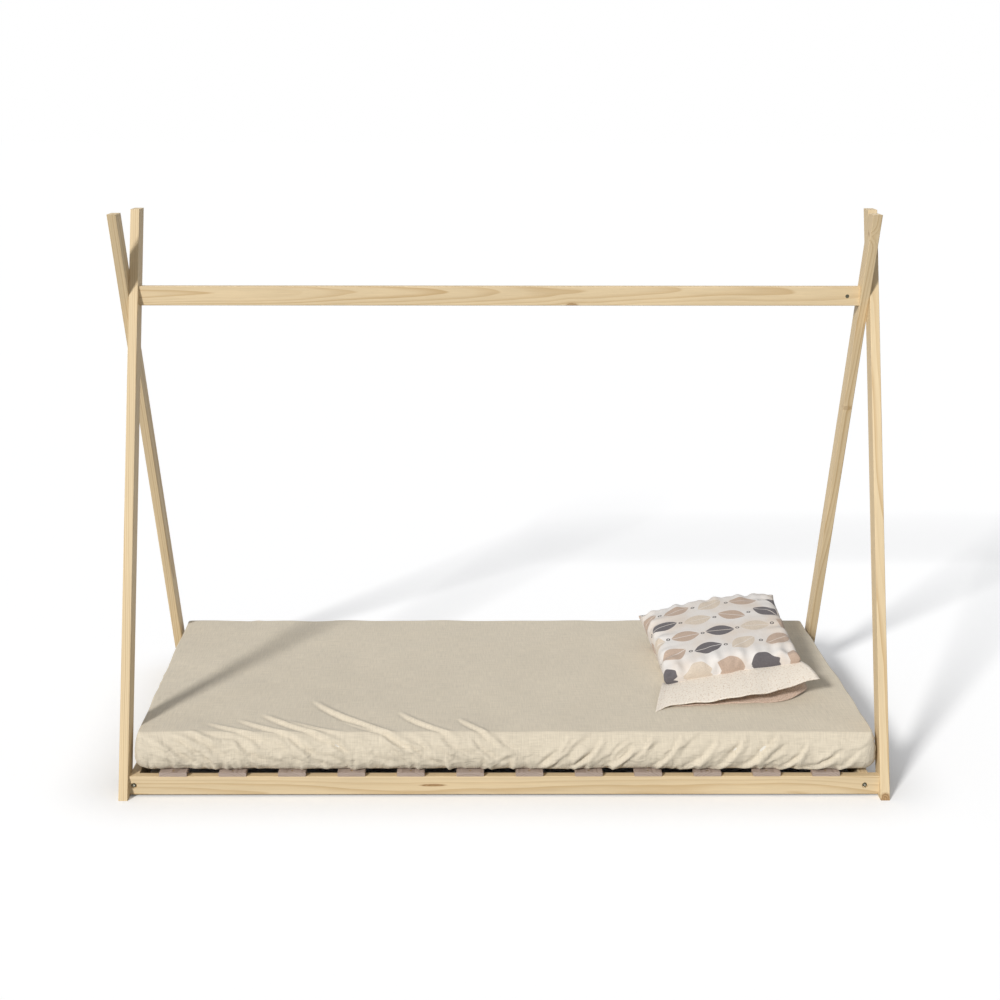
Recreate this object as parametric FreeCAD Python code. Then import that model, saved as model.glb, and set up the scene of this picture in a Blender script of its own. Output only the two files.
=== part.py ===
# A child's house bed of the tipi kind: crossed pine posts, a ridge beam, a low slatted base and bedding.
# Millimetres. X runs along the bed, Y from front to back and Z up. The origin lies on the floor, midway
# between the four feet. The frame looks the same after half a turn about Z, so only its left end is
# worked out and the right end is the left one turned.

import FreeCAD, Part
import math
import os

from FreeCAD import Rotation, Vector

# Pine bars, one section for posts, rails and ridge beam
BAR_THICKNESS = 24.0
BAR_WIDTH = 50.0
BAR_EDGE_RADIUS = 2.0

# House frame
SIDE_RAIL_LENGTH = 1910.0
RAIL_FLOOR_GAP = 5.0
CROSSING_HEIGHT = 1217.0
POST_ABOVE_CROSSING = 218.0

# Slats, which reach from the outer face of one side rail to that of the other
SLAT_COUNT = 12
SLAT_LENGTH = 900.0
SLAT_WIDTH = 70.0
SLAT_THICKNESS = 11.0
SLAT_END_GAP = 77.5
SLAT_EDGE_RADIUS = 1.5

# Socket head bolts, sunk in counterbores
BOLT_DIAMETER = 6.0
BOLT_HOLE_CLEARANCE = 0.3
BOLT_HEAD_DIAMETER = 10.5
BOLT_HEAD_HEIGHT = 3.5
BOLT_HEAD_ROUNDING = 1.5
BOLT_TAIL = 2.0
BOLT_END_ROOM = 3.0
SOCKET_WIDTH = 4.0
SOCKET_DEPTH = 2.0
COUNTERBORE_DIAMETER = 15.5
COUNTERBORE_DEPTH = 4.0

# Barrel nuts, crosswise in the bar that the bolt pulls on
NUT_DIAMETER = 10.0
NUT_LENGTH = 20.0
NUT_SETBACK = 32.0
NUT_HOLE_CLEARANCE = 0.1
THREAD_CLEARANCE = 0.05

# Heights of the post bolt above the rail's lower edge and of the dowel below a bar's upper edge
POST_BOLT_INSET = 13.0
DOWEL_INSET = 12.0

# Wooden dowels
DOWEL_DIAMETER = 8.0
DOWEL_POST_DEPTH = 12.0
DOWEL_BAR_DEPTH = 20.0
DOWEL_CLEARANCE = 0.1
DOWEL_END_ROOM = 1.0

# Countersunk slat screws
SCREW_DIAMETER = 3.5
SCREW_LENGTH = 32.0
SCREW_HEAD_DIAMETER = 6.5
SCREW_HEAD_SINK = 0.4
SCREW_CLEARANCE = 0.05
SCREW_END_ROOM = 2.0

# Mattress in its fitted sheet: gaps to the posts at its two ends and to the rails' outer faces, the height
# that it can be lifted straight up between the posts, then its form
MATTRESS_LEFT_GAP = 6.0
MATTRESS_RIGHT_GAP = 3.0
MATTRESS_SIDE_GAP = 2.0
MATTRESS_LIFT = 300.0
MATTRESS_THICKNESS = 95.0
MATTRESS_CORNER_RADIUS = 40.0
MATTRESS_TOP_CORNER_RADIUS = 12.0
MATTRESS_TUCK_RADIUS = 29.0
MATTRESS_SHOULDER_RADIUS = 80.0
MATTRESS_SHOULDER_BEND = 36.0
MATTRESS_SHOULDER_MOST = 0.75
MATTRESS_UPRIGHT_LEAST = 1.0
MATTRESS_END_BULGE = 0.35
MATTRESS_CROWN = 3.0
MATTRESS_CROWN_REACH = 250.0
MATTRESS_ARC_STEPS = 3
SHEET_THICKNESS = 1.2
SHEET_HEM_REACH = 90.0
BEDDING_CLEARANCE = 0.3

# Pillow in its case, turned and propped, with an open flange that droops from its front seam
PILLOW_WIDTH = 400.0
PILLOW_DEPTH = 410.0
PILLOW_THICKNESS = 176.0
PILLOW_TOP_SHARE = 0.52
PILLOW_SEAM_THICKNESS = 10.0
PILLOW_WAIST = 12.0
PILLOW_FROM_RIGHT_END = 328.0
PILLOW_BACK_OF_MIDDLE = 61.0
PILLOW_SETTLE = 8.0
PILLOW_TURN = 3.0
PILLOW_BACK_LIFT = 6.0
PILLOW_SIDE_LIFT = 9.0
FLANGE_WIDTH = 440.0
FLANGE_REACH = 105.0
FLANGE_DROOP = 12.0
FLANGE_THICKNESS = 3.0

# How far a cutter starts outside the surface that it goes into
CUTTER_OVERSHOOT = 1.0

# Places that follow from the sizes above
inner_post_face = (SIDE_RAIL_LENGTH - BAR_THICKNESS) / 2
inner_post_x = inner_post_face + BAR_THICKNESS / 2
outer_post_face = inner_post_face + BAR_THICKNESS
outer_post_x = outer_post_face + BAR_THICKNESS / 2
end_rail_x = inner_post_face - BAR_THICKNESS / 2
rail_y = (SLAT_LENGTH - BAR_THICKNESS) / 2
rail_inner_y = rail_y - BAR_THICKNESS / 2
rail_z = RAIL_FLOOR_GAP + BAR_WIDTH / 2
rail_top = RAIL_FLOOR_GAP + BAR_WIDTH
slat_top = rail_top + SLAT_THICKNESS
post_bolt_z = RAIL_FLOOR_GAP + POST_BOLT_INSET
post_dowel_z = rail_top - DOWEL_INSET
ridge_dowel_z = CROSSING_HEIGHT + BAR_WIDTH / 2 - DOWEL_INSET
post_slope = rail_y / (CROSSING_HEIGHT - rail_z)
post_top = CROSSING_HEIGHT + POST_ABOVE_CROSSING
slat_pitch = (2 * (inner_post_face - SLAT_END_GAP) - SLAT_WIDTH) / (SLAT_COUNT - 1)

RIGHT = Vector(1, 0, 0)
BACK = Vector(0, 1, 0)
UP = Vector(0, 0, 1)
LEFT = RIGHT * -1
FRONT = BACK * -1
DOWN = UP * -1


def half_turn(shape):
    """The shape turned half a turn about the bed's upright axis."""
    turned = shape.copy()
    turned.rotate(Vector(0, 0, 0), UP, 180)
    return turned


def both_ends(shapes):
    """Shapes of the left end, followed by the like shapes of the right end."""
    return shapes + [half_turn(shape) for shape in shapes]


def bored(shape, cutters):
    """The shape with each of the cutters taken away."""
    return shape.cut(Part.makeCompound(cutters))


def rod(start, direction, length, diameter):
    """A round rod from a start point along a direction."""
    return Part.makeCylinder(diameter / 2, length, start, direction)


def eased_bar(size_x, size_y, size_z, radius, along):
    """A box centred on the origin, with the four edges that run along one axis rounded."""
    box = Part.makeBox(size_x, size_y, size_z, Vector(-size_x / 2, -size_y / 2, -size_z / 2))
    long_edges = [edge for edge in box.Edges if abs(edge.tangentAt(edge.FirstParameter).dot(along)) > 0.99]
    return box.makeFillet(radius, long_edges)


def moved(shape, place):
    """A copy of the shape, moved by a vector."""
    copy = shape.copy()
    copy.translate(place)
    return copy


# Posts

def leaning_post(x, uphill):
    """A post whose centre line leans towards uphill and crosses y = 0 at the crossing height, cut level."""
    blank_length = 4 * post_top
    post = eased_bar(BAR_THICKNESS, BAR_WIDTH, blank_length, BAR_EDGE_RADIUS, UP)
    post.Placement.Rotation = Rotation(UP, UP + uphill * post_slope)
    post.translate(Vector(x, 0, CROSSING_HEIGHT))
    room = Part.makeBox(2 * BAR_THICKNESS, blank_length, post_top,
                        Vector(x - BAR_THICKNESS, -blank_length / 2, 0))
    return post.common(room)


# Bolts, barrel nuts and dowels

def bolt_and_nut(face, into, nut_depth, nut_entry):
    """A bolt from a face into the wood, its barrel nut and their holes.

    The nut lies nut_depth below the face, in a bar of the common thickness, and goes into that bar
    along nut_entry. Returns the bolt, the nut, the bolt's hole and the nut's hole.
    """
    seat = face + into * COUNTERBORE_DEPTH
    reach = nut_depth - COUNTERBORE_DEPTH + NUT_DIAMETER / 2 + BOLT_TAIL
    head = rod(seat, into * -1, BOLT_HEAD_HEIGHT, BOLT_HEAD_DIAMETER)
    rim = [edge for edge in head.Edges if (edge.CenterOfMass - seat).dot(into) < -BOLT_HEAD_HEIGHT / 2
           and edge.Closed]
    head = head.makeFillet(BOLT_HEAD_ROUNDING, rim)
    corners = [Vector(math.cos(math.radians(60 * i)), math.sin(math.radians(60 * i)), 0) for i in range(7)]
    socket_radius = SOCKET_WIDTH / math.sqrt(3)
    socket = Part.Face(Part.makePolygon([corner * socket_radius for corner in corners]))
    socket.Placement.Rotation = Rotation(UP, into)
    socket.translate(seat - into * BOLT_HEAD_HEIGHT)
    head = head.cut(socket.extrude(into * SOCKET_DEPTH))
    bolt = head.fuse(rod(seat, into, reach, BOLT_DIAMETER)).removeSplitter()

    nut_centre = face + into * nut_depth
    nut = rod(nut_centre - nut_entry * (NUT_LENGTH / 2), nut_entry, NUT_LENGTH, NUT_DIAMETER)
    thread = BOLT_DIAMETER + 2 * THREAD_CLEARANCE
    nut = nut.cut(rod(nut_centre - into * NUT_DIAMETER, into, 2 * NUT_DIAMETER, thread))

    bolt_hole = rod(face - into * CUTTER_OVERSHOOT, into, CUTTER_OVERSHOOT + COUNTERBORE_DEPTH,
                    COUNTERBORE_DIAMETER)
    shank_hole = rod(seat - into * CUTTER_OVERSHOOT, into, CUTTER_OVERSHOOT + reach + BOLT_END_ROOM,
                     BOLT_DIAMETER + 2 * BOLT_HOLE_CLEARANCE)
    bolt_hole = bolt_hole.fuse(shank_hole)
    nut_hole = rod(nut_centre - nut_entry * BAR_THICKNESS, nut_entry, BAR_THICKNESS + NUT_LENGTH / 2,
                   NUT_DIAMETER + 2 * NUT_HOLE_CLEARANCE)
    return bolt, nut, bolt_hole, nut_hole


def dowel_and_hole(face, into):
    """A dowel that crosses a face, from a post into the end of a bar, and its hole."""
    start = face - into * DOWEL_POST_DEPTH
    length = DOWEL_POST_DEPTH + DOWEL_BAR_DEPTH
    hole = rod(start - into * DOWEL_END_ROOM, into, length + 2 * DOWEL_END_ROOM,
               DOWEL_DIAMETER + 2 * DOWEL_CLEARANCE)
    return rod(start, into, length, DOWEL_DIAMETER), hole


# Joints of the left end: each bolt's face, its way in, the depth of its nut and the nut's way in

nut_past_post = BAR_THICKNESS + NUT_SETBACK
ridge_bolt, ridge_nut, ridge_bolt_hole, ridge_nut_hole = bolt_and_nut(
    Vector(-outer_post_face - BAR_THICKNESS, 0, CROSSING_HEIGHT), RIGHT, BAR_THICKNESS + nut_past_post, FRONT)
front_bolt, front_nut, front_bolt_hole, front_nut_hole = bolt_and_nut(
    Vector(-outer_post_face, -rail_y, post_bolt_z), RIGHT, nut_past_post, FRONT)
back_bolt, back_nut, back_bolt_hole, back_nut_hole = bolt_and_nut(
    Vector(-outer_post_face - BAR_THICKNESS, rail_y, post_bolt_z), RIGHT, nut_past_post, BACK)
end_front_bolt, end_front_nut, end_front_bolt_hole, end_front_nut_hole = bolt_and_nut(
    Vector(-end_rail_x, -SLAT_LENGTH / 2, rail_z), BACK, nut_past_post, LEFT)
end_back_bolt, end_back_nut, end_back_bolt_hole, end_back_nut_hole = bolt_and_nut(
    Vector(-end_rail_x, SLAT_LENGTH / 2, rail_z), FRONT, nut_past_post, LEFT)

front_dowel, front_dowel_hole = dowel_and_hole(Vector(-inner_post_face, -rail_y, post_dowel_z), RIGHT)
back_dowel, back_dowel_hole = dowel_and_hole(Vector(-outer_post_face, rail_y, post_dowel_z), RIGHT)
ridge_dowel, ridge_dowel_hole = dowel_and_hole(Vector(-inner_post_face, 0, ridge_dowel_z), RIGHT)


# Slats and their screws

def slat_screw(place):
    """A countersunk screw, driven down from a place on a slat's top, and its hole."""
    top = place - UP * SCREW_HEAD_SINK
    taper = (SCREW_HEAD_DIAMETER - SCREW_DIAMETER) / 2
    head = Part.makeCone(SCREW_HEAD_DIAMETER / 2, SCREW_DIAMETER / 2, taper, top, DOWN)
    screw = head.fuse(rod(top, DOWN, SCREW_LENGTH, SCREW_DIAMETER)).removeSplitter()
    sink = Part.makeCone(SCREW_HEAD_DIAMETER / 2 + SCREW_CLEARANCE, SCREW_DIAMETER / 2 + SCREW_CLEARANCE,
                         taper, top, DOWN)
    mouth = rod(place + UP * CUTTER_OVERSHOOT, DOWN, CUTTER_OVERSHOOT + SCREW_HEAD_SINK,
                SCREW_HEAD_DIAMETER + 2 * SCREW_CLEARANCE)
    hole = rod(top, DOWN, SCREW_LENGTH + SCREW_END_ROOM, SCREW_DIAMETER + 2 * SCREW_CLEARANCE)
    return screw, mouth.fuse(sink).fuse(hole)


slat_blank = eased_bar(SLAT_WIDTH, SLAT_LENGTH, SLAT_THICKNESS, SLAT_EDGE_RADIUS, BACK)
slats = []
slat_screws = []
screw_holes = []
for number in range(SLAT_COUNT):
    slat_x = (number - (SLAT_COUNT - 1) / 2) * slat_pitch
    screws_and_holes = [slat_screw(Vector(slat_x, side * rail_y, slat_top)) for side in (-1, 1)]
    holes = [hole for screw, hole in screws_and_holes]
    slats.append(bored(moved(slat_blank, Vector(slat_x, 0, rail_top + SLAT_THICKNESS / 2)), holes))
    slat_screws.extend(screw for screw, hole in screws_and_holes)
    screw_holes.extend(holes)


# Rails and ridge beam

rail_blank = eased_bar(SIDE_RAIL_LENGTH, BAR_THICKNESS, BAR_WIDTH, BAR_EDGE_RADIUS, RIGHT)
end_rail_blank = eased_bar(BAR_THICKNESS, 2 * rail_inner_y, BAR_WIDTH, BAR_EDGE_RADIUS, BACK)
ridge_blank = eased_bar(2 * inner_post_face, BAR_THICKNESS, BAR_WIDTH, BAR_EDGE_RADIUS, RIGHT)

front_rail_holes = [front_bolt_hole, front_nut_hole, front_dowel_hole, end_front_bolt_hole]
back_rail_holes = [back_bolt_hole, back_nut_hole, back_dowel_hole, end_back_bolt_hole]
front_rail = moved(rail_blank, Vector(BAR_THICKNESS / 2, -rail_y, rail_z))
front_rail = bored(front_rail, front_rail_holes + [half_turn(hole) for hole in back_rail_holes])
front_rail = bored(front_rail, screw_holes)
left_end_rail = bored(moved(end_rail_blank, Vector(-end_rail_x, 0, rail_z)),
                      [end_front_bolt_hole, end_front_nut_hole, end_back_bolt_hole, end_back_nut_hole])
ridge_beam = bored(moved(ridge_blank, Vector(0, 0, CROSSING_HEIGHT)),
                   both_ends([ridge_bolt_hole, ridge_nut_hole, ridge_dowel_hole]))
left_front_post = bored(leaning_post(-inner_post_x, BACK),
                        [ridge_bolt_hole, ridge_dowel_hole, front_bolt_hole, front_dowel_hole])
left_back_post = bored(leaning_post(-outer_post_x, FRONT),
                       [ridge_bolt_hole, back_bolt_hole, back_dowel_hole])


# Mattress and fitted sheet

def rounded_outline(corners, radius):
    """A closed wire through the corners, which lie in one plane, with each corner rounded by an arc."""
    ends = []
    edges = []
    for i, corner in enumerate(corners):
        before = (corners[i - 1] - corner).normalize()
        after = (corners[(i + 1) % len(corners)] - corner).normalize()
        half_angle = before.getAngle(after) / 2
        start = corner + before * (radius / math.tan(half_angle))
        end = corner + after * (radius / math.tan(half_angle))
        inward = (before + after).normalize()
        middle = corner + inward * (radius / math.sin(half_angle) - radius)
        edges.append(Part.Arc(start, middle, end).toShape())
        ends.append((start, end))
    lines = [Part.makeLine(ends[i - 1][1], ends[i][0]) for i in range(len(ends))]
    return Part.Wire([edge for pair in zip(lines, edges) for edge in pair])


# The mattress's ends slant in plan, from the outer post to clear of the inner one where that stands nearest
# to the middle beside the lifted mattress
sheet_width = SLAT_LENGTH - 2 * MATTRESS_SIDE_GAP
shoulder_bend = math.radians(MATTRESS_SHOULDER_BEND)
shoulder_drop = min(MATTRESS_SHOULDER_RADIUS * math.cos(shoulder_bend),
                    MATTRESS_SHOULDER_MOST * MATTRESS_THICKNESS)
shoulder_radius = shoulder_drop / math.cos(shoulder_bend)
shoulder_reach = shoulder_radius * (1 - math.sin(shoulder_bend))
tuck_radius = min(MATTRESS_TUCK_RADIUS, MATTRESS_THICKNESS - shoulder_drop - MATTRESS_UPRIGHT_LEAST)
lifted_shoulder = slat_top + MATTRESS_THICKNESS - shoulder_drop + MATTRESS_LIFT
inner_post_nearest_y = (post_slope * (CROSSING_HEIGHT - lifted_shoulder)
                        - BAR_WIDTH / 2 * math.hypot(1, post_slope))
mattress_skew = BAR_THICKNESS / (sheet_width / 2 + inner_post_nearest_y)
sheet_length = 2 * outer_post_face - sheet_width * mattress_skew - MATTRESS_LEFT_GAP - MATTRESS_RIGHT_GAP
mattress_shift = (MATTRESS_LEFT_GAP - MATTRESS_RIGHT_GAP) / 2


def mattress_outline(end_inset, side_inset, z):
    """The plan of the mattress at a height, its ends slanted."""
    half_length = sheet_length / 2 - end_inset
    half_width = sheet_width / 2 - side_inset
    radius = max(MATTRESS_CORNER_RADIUS - side_inset, MATTRESS_TOP_CORNER_RADIUS)
    corners = []
    for side_x, side_y in ((-1, -1), (1, -1), (1, 1), (-1, 1)):
        y = side_y * half_width
        corners.append(Vector(mattress_shift + side_x * half_length - y * mattress_skew, y, z))
    return rounded_outline(corners, radius)


def mattress_form(offset):
    """The mattress's form, drawn in below, bulging at its sides and crowned, all moved in by offset.

    The bulge is an arc that starts with a bend at the edge of the top and ends upright above the tuck. The
    ends bulge less than the long sides.
    """
    levels = []
    for step in range(MATTRESS_ARC_STEPS + 1):
        angle = math.radians(90 * step / MATTRESS_ARC_STEPS)
        levels.append((tuck_radius * (1 - math.cos(angle)), tuck_radius * (1 - math.sin(angle))))
    for step in range(MATTRESS_ARC_STEPS + 1):
        angle = math.radians(90 - (90 - MATTRESS_SHOULDER_BEND) * step / MATTRESS_ARC_STEPS)
        fall = shoulder_drop - shoulder_radius * math.cos(angle)
        levels.append((MATTRESS_THICKNESS - fall, shoulder_radius * (1 - math.sin(angle))))
    flat_reach = MATTRESS_CROWN_REACH - shoulder_reach
    for share in (0.5, 1.0):
        crown = MATTRESS_CROWN * (1 - (1 - share) ** 2)
        levels.append((MATTRESS_THICKNESS + crown, shoulder_reach + share * flat_reach))
    full_height = MATTRESS_THICKNESS + MATTRESS_CROWN
    squeeze = (full_height - 2 * offset) / full_height
    outlines = [mattress_outline(MATTRESS_END_BULGE * inset + offset, inset + offset,
                                 slat_top + offset + height * squeeze)
                for height, inset in levels]
    return Part.makeLoft(outlines, True, True)


hem_mouth = Part.Face(mattress_outline(SHEET_HEM_REACH, SHEET_HEM_REACH, slat_top - CUTTER_OVERSHOOT))
hem_mouth = hem_mouth.extrude(UP * (SHEET_THICKNESS + 2 * CUTTER_OVERSHOOT))
fitted_sheet = mattress_form(0).cut(mattress_form(SHEET_THICKNESS).fuse(hem_mouth))
mattress = mattress_form(SHEET_THICKNESS + BEDDING_CLEARANCE)
mattress_top = slat_top + MATTRESS_THICKNESS + MATTRESS_CROWN


# Pillow

def pillow_section(x):
    """A lens of two arcs across the pillow, flatter above, thinner towards its ends, drawn in at its middle."""
    share = 2 * x / PILLOW_WIDTH
    half_depth = PILLOW_DEPTH / 2 - PILLOW_WAIST * (1 - share ** 2)
    swell = math.sqrt(max(1 - share ** 2, 0))
    half_height = (PILLOW_SEAM_THICKNESS + (PILLOW_THICKNESS - PILLOW_SEAM_THICKNESS) * swell) / 2
    front = Vector(x, -half_depth, 0)
    back = Vector(x, half_depth, 0)
    upper = Part.Arc(front, Vector(x, 0, PILLOW_TOP_SHARE * half_height), back).toShape()
    lower = Part.Arc(back, Vector(x, 0, -half_height), front).toShape()
    return Part.Wire([upper, lower])


pillow_stations = [math.sin(math.radians(angle)) * PILLOW_WIDTH / 2
                   for angle in (-90, -65, -40, 0, 40, 65, 90)]
pillow = Part.makeLoft([pillow_section(x) for x in pillow_stations], True, False)
flange_root = PILLOW_DEPTH / 2 - 2 * PILLOW_WAIST
flange_front = PILLOW_DEPTH / 2 + FLANGE_REACH
flange = Part.makeBox(FLANGE_WIDTH, flange_front - flange_root, FLANGE_THICKNESS,
                      Vector(-FLANGE_WIDTH / 2, -flange_front, -FLANGE_THICKNESS / 2))
flange.rotate(Vector(0, -flange_root, 0), RIGHT, FLANGE_DROOP)
pillow = pillow.fuse(flange)
pillow.rotate(Vector(0, 0, 0), BACK, -PILLOW_SIDE_LIFT)
pillow.rotate(Vector(0, 0, 0), RIGHT, PILLOW_BACK_LIFT)
pillow.rotate(Vector(0, 0, 0), UP, PILLOW_TURN)
pillow_rest = mattress_top + BEDDING_CLEARANCE
pillow_lift = pillow_rest + PILLOW_THICKNESS / 2 - PILLOW_SETTLE
pillow_x = mattress_shift + sheet_length / 2 - PILLOW_FROM_RIGHT_END
pillow.translate(Vector(pillow_x, PILLOW_BACK_OF_MIDDLE, pillow_lift))
below = Part.makeBox(4 * PILLOW_WIDTH, 4 * PILLOW_DEPTH, pillow_rest,
                     Vector(pillow_x - 2 * PILLOW_WIDTH, PILLOW_BACK_OF_MIDDLE - 2 * PILLOW_DEPTH, 0))
pillow = pillow.cut(below)


# Every node, written to a file of its own

nodes = {
    "left_front_post": left_front_post,
    "left_back_post": left_back_post,
    "right_front_post": half_turn(left_back_post),
    "right_back_post": half_turn(left_front_post),
    "ridge_beam": ridge_beam,
    "front_side_rail": front_rail,
    "back_side_rail": half_turn(front_rail),
    "left_end_rail": left_end_rail,
    "right_end_rail": half_turn(left_end_rail),
    "ridge_bolts": Part.makeCompound(both_ends([ridge_bolt])),
    "ridge_barrel_nuts": Part.makeCompound(both_ends([ridge_nut])),
    "post_bolts": Part.makeCompound(both_ends([front_bolt, back_bolt])),
    "post_barrel_nuts": Part.makeCompound(both_ends([front_nut, back_nut])),
    "end_rail_bolts": Part.makeCompound(both_ends([end_front_bolt, end_back_bolt])),
    "end_rail_barrel_nuts": Part.makeCompound(both_ends([end_front_nut, end_back_nut])),
    "dowels": Part.makeCompound(both_ends([front_dowel, back_dowel, ridge_dowel])),
    "slat_screws": Part.makeCompound(slat_screws),
    "mattress": mattress,
    "fitted_sheet": fitted_sheet,
    "pillow": pillow,
}
for number, slat in enumerate(slats, start=1):
    nodes[f"slat_{number:02d}"] = slat

os.makedirs("parts", exist_ok=True)
for name, shape in nodes.items():
    shape.exportStep(f"parts/{name}.step")
    print(f"{name}: {len(shape.Solids)} solids, {shape.Volume / 1000:.1f} cm3, valid {shape.isValid()}")
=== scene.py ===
import math

import bpy
import numpy as np
from mathutils import Matrix, Vector
from numpy.polynomial.polynomial import polyfit, polyval


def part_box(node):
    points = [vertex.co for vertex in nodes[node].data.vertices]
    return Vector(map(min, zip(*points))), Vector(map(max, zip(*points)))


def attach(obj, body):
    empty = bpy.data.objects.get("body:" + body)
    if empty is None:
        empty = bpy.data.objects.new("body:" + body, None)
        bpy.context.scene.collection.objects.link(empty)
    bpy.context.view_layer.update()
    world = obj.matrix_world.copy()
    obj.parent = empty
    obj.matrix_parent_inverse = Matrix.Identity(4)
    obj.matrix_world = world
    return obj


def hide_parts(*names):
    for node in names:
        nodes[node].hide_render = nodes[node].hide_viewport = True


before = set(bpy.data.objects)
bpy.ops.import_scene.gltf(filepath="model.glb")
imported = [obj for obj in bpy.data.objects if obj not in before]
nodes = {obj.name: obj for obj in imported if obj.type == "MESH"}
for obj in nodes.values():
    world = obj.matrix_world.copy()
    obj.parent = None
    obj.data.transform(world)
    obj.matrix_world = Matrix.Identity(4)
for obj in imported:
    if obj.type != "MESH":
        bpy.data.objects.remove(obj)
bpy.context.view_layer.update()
scene = bpy.context.scene


# Posts
# Four planed pine bars, 24 by 50 mm, cut level at head and foot. They cross in pairs at the ends of the bed,
# where a bolt holds each pair to the ridge beam, and their feet are bolted to the side rails.

def add_node(tree, kind, inputs=None, **settings):
    """A new node with its settings. Each of its inputs is a value, or another node's socket to link from."""
    made = tree.nodes.new(kind)
    for name, value in settings.items():
        setattr(made, name, value)
    for name, value in (inputs or {}).items():
        if isinstance(value, bpy.types.NodeSocket):
            tree.links.new(value, made.inputs[name])
        else:
            made.inputs[name].default_value = value
    return made


def calc(tree, operation, *values, clamp=False):
    """A Math node's result."""
    made = add_node(tree, "ShaderNodeMath", dict(enumerate(values)), operation=operation, use_clamp=clamp)
    return made.outputs[0]


def vcalc(tree, operation, *values):
    """A Vector Math node's result: a number for a length, and otherwise a vector."""
    made = add_node(tree, "ShaderNodeVectorMath", dict(enumerate(values)), operation=operation)
    return made.outputs["Value" if operation == "LENGTH" else "Vector"]


def scaled(tree, vector, factor):
    """A vector or a colour times a number."""
    made = add_node(tree, "ShaderNodeVectorMath", {"Vector": vector, "Scale": factor}, operation="SCALE")
    return made.outputs["Vector"]


def blended(tree, factor, first, second):
    """Two colours mixed by a factor."""
    return add_node(tree, "ShaderNodeMix", {0: factor, 6: first, 7: second}, data_type="RGBA").outputs[2]


def linear(tree, value, factor, offset):
    """A value times a factor, plus an offset."""
    return calc(tree, "MULTIPLY_ADD", value, factor, offset)


def eased(tree, value, low, high):
    """0 where the value is low, 1 where it is high, with a smooth step between."""
    return add_node(tree, "ShaderNodeMapRange", {"Value": value, "From Min": low, "From Max": high},
                    interpolation_type="SMOOTHSTEP").outputs["Result"]


def noise(tree, vector, scale, detail, output="Fac"):
    """A Noise node's result, with so many features to the metre along each axis as the scale says."""
    inputs = {"Vector": vcalc(tree, "MULTIPLY", vector, scale), "Scale": 1.0, "Detail": detail}
    return add_node(tree, "ShaderNodeTexNoise", inputs).outputs[output]


def relief(tree, height, strength, distance, **more):
    """A Bump node's normal."""
    inputs = {"Height": height, "Strength": strength, "Distance": distance, **more}
    return add_node(tree, "ShaderNodeBump", inputs).outputs["Normal"]


def tone_ramp(tree, factor, stops):
    """A Color Ramp through grey tones or colours, given as pairs of a place and a tone."""
    made = add_node(tree, "ShaderNodeValToRGB", {"Fac": factor})
    ramp = made.color_ramp
    while len(ramp.elements) < len(stops):
        ramp.elements.new(0.5)
    for element, (place, tone) in zip(ramp.elements, stops):
        element.position = place
        element.color = (*tone, 1.0) if isinstance(tone, tuple) else (tone, tone, tone, 1.0)
    return made.outputs["Color"]


def node_group(name, inputs, outputs):
    """An empty shader node group, and the sockets to read its inputs from and to link its outputs to."""
    tree = bpy.data.node_groups.new(name, "ShaderNodeTree")
    for way, sockets in (("INPUT", inputs), ("OUTPUT", outputs)):
        for label, kind in sockets.items():
            tree.interface.new_socket(label, in_out=way, socket_type="NodeSocket" + kind)
    return tree, tree.nodes.new("NodeGroupInput").outputs, tree.nodes.new("NodeGroupOutput").inputs


def use_group(tree, group, inputs):
    """The outputs of a node group that is placed in a material."""
    return add_node(tree, "ShaderNodeGroup", inputs, node_tree=group).outputs


def new_finish(name):
    """A new material, its node tree and its shader's inputs."""
    material = bpy.data.materials.new(name)
    material.use_nodes = True
    return material, material.node_tree, material.node_tree.nodes["Principled BSDF"].inputs


def dress(node, material):
    """Gives a solid of the frame its finish."""
    nodes[node].data.materials.clear()
    nodes[node].data.materials.append(material)


# Growth rings are shells round the pith, the X axis, that sway along the tree. Each has pale earlywood that
# darkens to a thin line of latewood. Fibres, flecks and broad drifts of tone run along X, and have so many
# features to the metre.
RING_SWAYS = (((1.6, 9.0, 9.0), 0.022), ((7.0, 60.0, 60.0), 0.0022))
SEASON_TONES = ((0.0, 0.0), (0.45, 0.10), (0.84, 0.85), (0.93, 1.0), (1.0, 0.0))
FIBRES, FLECKS, DRIFTS = (11.0, 520.0, 520.0), (26.0, 1100.0, 1100.0), (2.2, 24.0, 24.0)
pine_grain, given, made = node_group(
    "pine_grain", {"Vector": "Vector", "Rings": "Float", "Earlywood": "Color", "Latewood": "Color"},
    {"Color": "Color", "Roughness": "Float", "Height": "Float"})
tree = pine_grain
place = swayed = given["Vector"]
for scale, reach in RING_SWAYS:
    sway = vcalc(tree, "SUBTRACT", noise(tree, place, scale, 1.0, "Color"), (0.5, 0.5, 0.5))
    swayed = vcalc(tree, "ADD", swayed, vcalc(tree, "MULTIPLY", sway, (0.0, reach, reach)))
radius = vcalc(tree, "LENGTH", vcalc(tree, "MULTIPLY", swayed, (0.0, 1.0, 1.0)))
year = calc(tree, "MULTIPLY", radius, given["Rings"])
season = calc(tree, "FRACT", year)
year_strength = add_node(tree, "ShaderNodeTexWhiteNoise", {"W": calc(tree, "FLOOR", year)},
                         noise_dimensions="1D").outputs["Value"]
latewood = tone_ramp(tree, season, SEASON_TONES)
latewood = calc(tree, "MULTIPLY", latewood, linear(tree, year_strength, 0.62, 0.14))
fibre = noise(tree, place, FIBRES, 3.0)
fleck = eased(tree, noise(tree, place, FLECKS, 1.0), 0.62, 0.78)
drift = noise(tree, place, DRIFTS, 2.0)
wood = blended(tree, latewood, given["Earlywood"], given["Latewood"])
wood = blended(tree, calc(tree, "MULTIPLY", fleck, 0.16), wood, given["Latewood"])
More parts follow.
